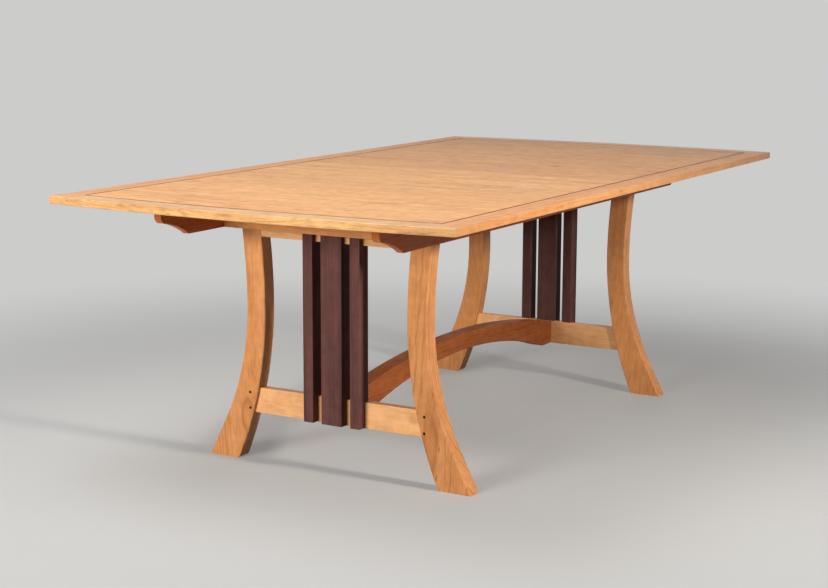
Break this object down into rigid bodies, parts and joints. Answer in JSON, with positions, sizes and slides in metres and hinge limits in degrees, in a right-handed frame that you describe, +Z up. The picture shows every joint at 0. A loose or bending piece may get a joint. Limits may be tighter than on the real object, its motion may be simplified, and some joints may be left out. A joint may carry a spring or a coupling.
{
  "type": "trestle dining table",
  "caption": "Trestle dining table with bowed ends, inlaid border, splayed curved legs, dark slats and an arched stretcher; its top draws apart to take leaves.",
  "frame": {"origin": "on the floor, under the middle of the table", "axes": "+X along the table towards its right end, +Y across it towards its back side, +Z up"},
  "size_m": [2.222, 1.18, 0.75],
  "materials": {
    "cherry_field": "satin clear finish, grain across the table",
    "cherry_border": "satin clear finish, grain along each edge",
    "cherry_leg": "satin clear finish, grain upright",
    "cherry_rail": "satin clear finish, grain along the rail",
    "cherry_bearer": "satin clear finish, grain along the board",
    "dark_slat": "satin dark stained wood, grain upright",
    "dark_inlay": "dark wood strip, flush",
    "dark_peg": "dark wood, end grain showing",
    "pale_slide_key": "waxed hard pale wood",
    "screw_steel": "zinc plated"
  },
  "bodies": {
    "base": {"back_runner": "cherry_bearer", "back_runner_key": "pale_slide_key", "back_runner_screws": "screw_steel", "front_runner": "cherry_bearer", "front_runner_key": "pale_slide_key", "front_runner_screws": "screw_steel", "left_back_leg": "cherry_leg", "left_back_slat": "dark_slat", "left_front_leg": "cherry_leg", "left_front_slat": "dark_slat", "left_leg_pegs": "dark_peg", "left_lower_rail": "cherry_rail", "left_middle_slat": "dark_slat", "left_top_rail": "cherry_rail", "right_back_leg": "cherry_leg", "right_back_slat": "dark_slat", "right_front_leg": "cherry_leg", "right_front_slat": "dark_slat", "right_leg_pegs": "dark_peg", "right_lower_rail": "cherry_rail", "right_middle_slat": "dark_slat", "right_top_rail": "cherry_rail", "stretcher": "cherry_rail", "stretcher_pegs": "dark_peg"},
    "left_top": {"left_back_bearer": "cherry_bearer", "left_back_border": "cherry_border", "left_back_inlay": "dark_inlay", "left_batten": "cherry_bearer", "left_cross_board": "cherry_bearer", "left_end_border": "cherry_border", "left_end_inlay": "dark_inlay", "left_field": "cherry_field", "left_front_bearer": "cherry_bearer", "left_front_border": "cherry_border", "left_front_inlay": "dark_inlay", "left_top_screws": "screw_steel"},
    "right_top": {"right_back_bearer": "cherry_bearer", "right_back_border": "cherry_border", "right_back_inlay": "dark_inlay", "right_batten": "cherry_bearer", "right_cross_board": "cherry_bearer", "right_end_border": "cherry_border", "right_end_inlay": "dark_inlay", "right_field": "cherry_field", "right_front_bearer": "cherry_bearer", "right_front_border": "cherry_border", "right_front_inlay": "dark_inlay", "right_top_screws": "screw_steel", "seam_pins": "pale_slide_key"}
  },
  "joints": [
    {"name": "left_top_slide", "type": "slide", "parent": "base", "child": "left_top", "axis": [-1, 0, 0], "range_m": [0, 0.305]},
    {"name": "right_top_slide", "type": "slide", "parent": "base", "child": "right_top", "axis": [1, 0, 0], "range_m": [0, 0.305]}
  ]
}
